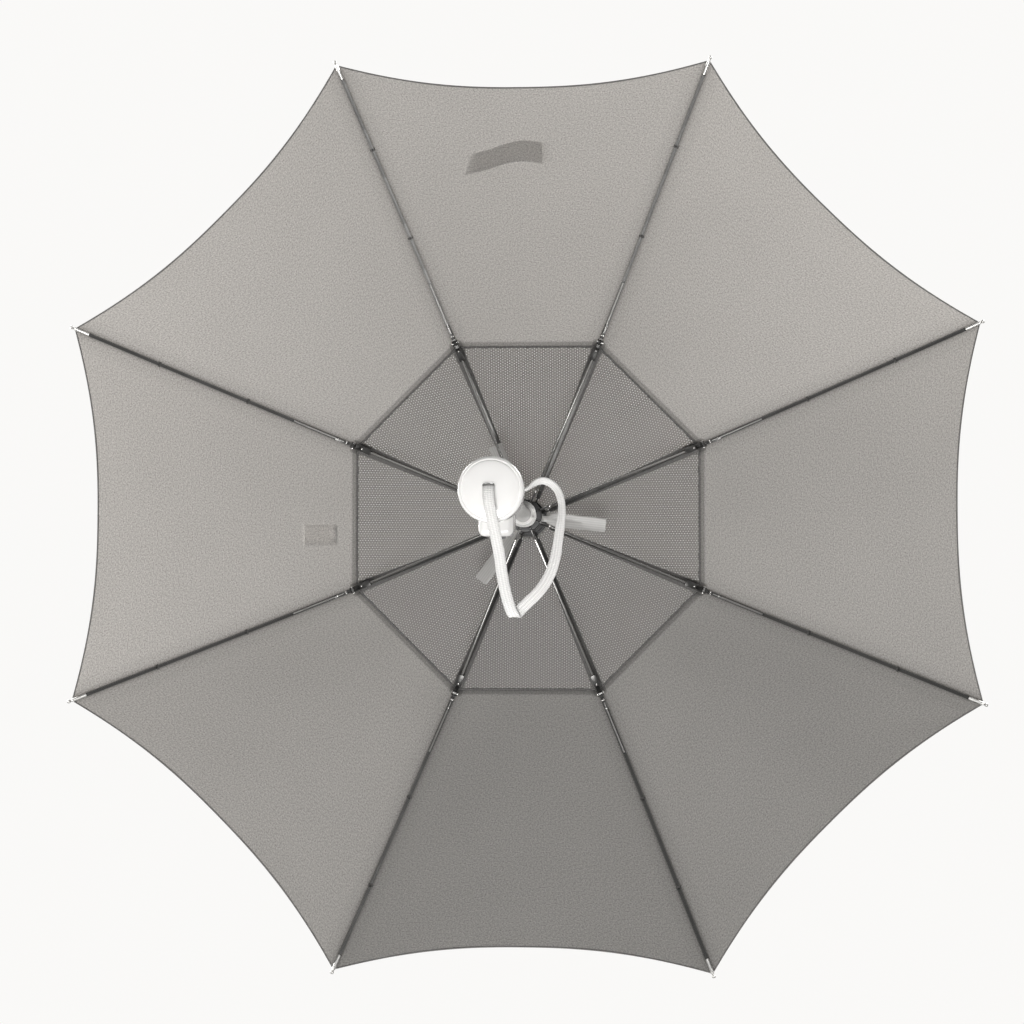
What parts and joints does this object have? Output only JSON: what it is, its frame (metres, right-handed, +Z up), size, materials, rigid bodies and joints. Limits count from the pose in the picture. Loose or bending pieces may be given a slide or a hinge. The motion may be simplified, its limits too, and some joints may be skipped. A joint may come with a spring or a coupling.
{
  "type": "fan umbrella",
  "caption": "Open folding-rib umbrella with an air-vent net crown, a battery fan with folding blades under the crown, a hollow handle with a switch housing, and a wrist strap.",
  "frame": {"origin": "on the shaft's axis in the middle of the grip, where a hand holds the umbrella", "axes": "+Y along the shaft from the handle to the crown, +Z up as pictured, with the shaft level, +X to the right of someone looking along +Y"},
  "size_m": [0.8092, 0.6959, 0.8092],
  "materials": {
    "steel_dark": "smooth black",
    "steel_bright": "polished",
    "plastic_black": "satin",
    "plastic_grey": "satin",
    "plastic_white": "gloss",
    "blade_white": "satin, slightly translucent",
    "cloth_grey": "plain weave",
    "net_grey": "open hexagonal net",
    "cord_white": "flat braid",
    "cell_green": "satin"
  },
  "bodies": {
    "shaft": {"shaft_tube": "steel_dark", "crown_notch": "plastic_black", "ferrule": "plastic_black", "fan_motor": "plastic_grey", "handle_upper": "plastic_white", "handle_lower": "plastic_white", "switch_housing": "plastic_white", "battery": "cell_green", "circuit_board": "cell_green"},
    "rib_1": {"rib_1": "steel_dark", "rib_tip_1": "steel_bright", "canopy_1": "cloth_grey", "vent_net_1": "net_grey"},
    "strut_1": {"strut_1": "steel_dark"},
    "rib_2": {"rib_2": "steel_dark", "rib_tip_2": "steel_bright", "canopy_2": "cloth_grey", "vent_net_2": "net_grey", "closure_strap": "cloth_grey"},
    "strut_2": {"strut_2": "steel_dark"},
    "rib_3": {"rib_3": "steel_dark", "rib_tip_3": "steel_bright", "canopy_3": "cloth_grey", "vent_net_3": "net_grey"},
    "strut_3": {"strut_3": "steel_dark"},
    "rib_4": {"rib_4": "steel_dark", "rib_tip_4": "steel_bright", "canopy_4": "cloth_grey", "vent_net_4": "net_grey"},
    "strut_4": {"strut_4": "steel_dark"},
    "rib_5": {"rib_5": "steel_dark", "rib_tip_5": "steel_bright", "canopy_5": "cloth_grey", "vent_net_5": "net_grey", "closure_patch": "cloth_grey"},
    "strut_5": {"strut_5": "steel_dark"},
    "rib_6": {"rib_6": "steel_dark", "rib_tip_6": "steel_bright", "canopy_6": "cloth_grey", "vent_net_6": "net_grey"},
    "strut_6": {"strut_6": "steel_dark"},
    "rib_7": {"rib_7": "steel_dark", "rib_tip_7": "steel_bright", "canopy_7": "cloth_grey", "vent_net_7": "net_grey"},
    "strut_7": {"strut_7": "steel_dark"},
    "rib_8": {"rib_8": "steel_dark", "rib_tip_8": "steel_bright", "canopy_8": "cloth_grey", "vent_net_8": "net_grey"},
    "strut_8": {"strut_8": "steel_dark"},
    "runner": {"runner": "plastic_white"},
    "runner_button": {"runner_button": "plastic_white"},
    "fan": {"fan_hub": "plastic_grey"},
    "blade_1": {"blade_1": "blade_white"},
    "blade_2": {"blade_2": "blade_white"},
    "blade_3": {"blade_3": "blade_white"},
    "power_button": {"power_button": "plastic_grey"},
    "end_cap": {"end_cap": "plastic_white", "wrist_strap": "cord_white"}
  },
  "joints": [
    {"name": "runner_slide", "type": "slide", "parent": "shaft", "child": "runner", "axis": [0, -1, 0], "range_m": [0, 0.24963], "deforming": ["canopy_1", "canopy_2", "canopy_3", "canopy_4", "canopy_5", "canopy_6", "canopy_7", "canopy_8", "vent_net_1", "vent_net_2", "vent_net_3", "vent_net_4", "vent_net_5", "vent_net_6", "vent_net_7", "vent_net_8", "closure_strap", "closure_patch"]},
    {"name": "rib_hinge_1", "type": "hinge", "parent": "shaft", "child": "rib_1", "pos_m": [0.01109, 0.56, 0.00459], "axis": [0.3827, 0, -0.9239], "range_deg": [0, 64.01]},
    {"name": "strut_hinge_1", "type": "hinge", "parent": "rib_1", "child": "strut_1", "pos_m": [0.16739, 0.51149, 0.06933], "axis": [-0.3827, 0, 0.9239], "range_deg": [0, 128.02]},
    {"name": "rib_hinge_2", "type": "hinge", "parent": "shaft", "child": "rib_2", "pos_m": [0.00459, 0.56, 0.01109], "axis": [0.9239, 0, -0.3827], "range_deg": [0, 64.01]},
    {"name": "strut_hinge_2", "type": "hinge", "parent": "rib_2", "child": "strut_2", "pos_m": [0.06933, 0.51149, 0.16739], "axis": [-0.9239, 0, 0.3827], "range_deg": [0, 128.02]},
    {"name": "rib_hinge_3", "type": "hinge", "parent": "shaft", "child": "rib_3", "pos_m": [-0.00459, 0.56, 0.01109], "axis": [0.9239, 0, 0.3827], "range_deg": [0, 64.01]},
    {"name": "strut_hinge_3", "type": "hinge", "parent": "rib_3", "child": "strut_3", "pos_m": [-0.06933, 0.51149, 0.16739], "axis": [-0.9239, 0, -0.3827], "range_deg": [0, 128.02]},
    {"name": "rib_hinge_4", "type": "hinge", "parent": "shaft", "child": "rib_4", "pos_m": [-0.01109, 0.56, 0.00459], "axis": [0.3827, 0, 0.9239], "range_deg": [0, 64.01]},
    {"name": "strut_hinge_4", "type": "hinge", "parent": "rib_4", "child": "strut_4", "pos_m": [-0.16739, 0.51149, 0.06933], "axis": [-0.3827, 0, -0.9239], "range_deg": [0, 128.02]},
    {"name": "rib_hinge_5", "type": "hinge", "parent": "shaft", "child": "rib_5", "pos_m": [-0.01109, 0.56, -0.00459], "axis": [-0.3827, 0, 0.9239], "range_deg": [0, 64.01]},
    {"name": "strut_hinge_5", "type": "hinge", "parent": "rib_5", "child": "strut_5", "pos_m": [-0.16739, 0.51149, -0.06933], "axis": [0.3827, 0, -0.9239], "range_deg": [0, 128.02]},
    {"name": "rib_hinge_6", "type": "hinge", "parent": "shaft", "child": "rib_6", "pos_m": [-0.00459, 0.56, -0.01109], "axis": [-0.9239, 0, 0.3827], "range_deg": [0, 64.01]},
    {"name": "strut_hinge_6", "type": "hinge", "parent": "rib_6", "child": "strut_6", "pos_m": [-0.06933, 0.51149, -0.16739], "axis": [0.9239, 0, -0.3827], "range_deg": [0, 128.02]},
    {"name": "rib_hinge_7", "type": "hinge", "parent": "shaft", "child": "rib_7", "pos_m": [0.00459, 0.56, -0.01109], "axis": [-0.9239, 0, -0.3827], "range_deg": [0, 64.01]},
    {"name": "strut_hinge_7", "type": "hinge", "parent": "rib_7", "child": "strut_7", "pos_m": [0.06933, 0.51149, -0.16739], "axis": [0.9239, 0, 0.3827], "range_deg": [0, 128.02]},
    {"name": "rib_hinge_8", "type": "hinge", "parent": "shaft", "child": "rib_8", "pos_m": [0.01109, 0.56, -0.00459], "axis": [-0.3827, 0, -0.9239], "range_deg": [0, 64.01]},
    {"name": "strut_hinge_8", "type": "hinge", "parent": "rib_8", "child": "strut_8", "pos_m": [0.16739, 0.51149, -0.06933], "axis": [0.3827, 0, 0.9239], "range_deg": [0, 128.02]},
    {"name": "runner_button_press", "type": "slide", "parent": "runner", "child": "runner_button", "axis": [0, 0, 1], "range_m": [0, 0.001], "stiffness_N_per_m": 1500, "springref_m": -0.001},
    {"name": "fan_spin", "type": "hinge", "parent": "shaft", "child": "fan", "pos_m": [0, 0.5032, 0], "axis": [0, 1, 0], "continuous": true},
    {"name": "blade_fold_1", "type": "hinge", "parent": "fan", "child": "blade_1", "pos_m": [0.01343, 0.5032, -0.00141], "axis": [-0.1045, 0, -0.9945], "range_deg": [0, 85.01]},
    {"name": "blade_fold_2", "type": "hinge", "parent": "fan", "child": "blade_2", "pos_m": [-0.00549, 0.5032, 0.01233], "axis": [0.9135, 0, 0.4067], "range_deg": [0, 85.01]},
    {"name": "blade_fold_3", "type": "hinge", "parent": "fan", "child": "blade_3", "pos_m": [-0.00793, 0.5032, -0.01092], "axis": [-0.809, 0, 0.5878], "range_deg": [0, 85.01]},
    {"name": "power_press", "type": "slide", "parent": "shaft", "child": "power_button", "axis": [0, 0, 1], "range_m": [0, 0.0008], "stiffness_N_per_m": 2000, "springref_m": -0.0008},
    {"name": "end_cap_pull", "type": "slide", "parent": "shaft", "child": "end_cap", "axis": [0, -1, 0], "range_m": [0, 0.03]}
  ],
  "couplings": [
    {"joint": "rib_hinge_1", "follows": "runner_slide", "rad_per_m": 4.4747},
    {"joint": "strut_hinge_1", "follows": "runner_slide", "rad_per_m": 8.9493},
    {"joint": "rib_hinge_2", "follows": "runner_slide", "rad_per_m": 4.4747},
    {"joint": "strut_hinge_2", "follows": "runner_slide", "rad_per_m": 8.9493},
    {"joint": "rib_hinge_3", "follows": "runner_slide", "rad_per_m": 4.4747},
    {"joint": "strut_hinge_3", "follows": "runner_slide", "rad_per_m": 8.9493},
    {"joint": "rib_hinge_4", "follows": "runner_slide", "rad_per_m": 4.4747},
    {"joint": "strut_hinge_4", "follows": "runner_slide", "rad_per_m": 8.9493},
    {"joint": "rib_hinge_5", "follows": "runner_slide", "rad_per_m": 4.4747},
    {"joint": "strut_hinge_5", "follows": "runner_slide", "rad_per_m": 8.9493},
    {"joint": "rib_hinge_6", "follows": "runner_slide", "rad_per_m": 4.4747},
    {"joint": "strut_hinge_6", "follows": "runner_slide", "rad_per_m": 8.9493},
    {"joint": "rib_hinge_7", "follows": "runner_slide", "rad_per_m": 4.4747},
    {"joint": "strut_hinge_7", "follows": "runner_slide", "rad_per_m": 8.9493},
    {"joint": "rib_hinge_8", "follows": "runner_slide", "rad_per_m": 4.4747},
    {"joint": "strut_hinge_8", "follows": "runner_slide", "rad_per_m": 8.9493},
    {"joint": "blade_fold_1", "follows": "runner_slide", "rad_per_m": 5.9429},
    {"joint": "blade_fold_2", "follows": "runner_slide", "rad_per_m": 5.9429},
    {"joint": "blade_fold_3", "follows": "runner_slide", "rad_per_m": 5.9429}
  ]
}
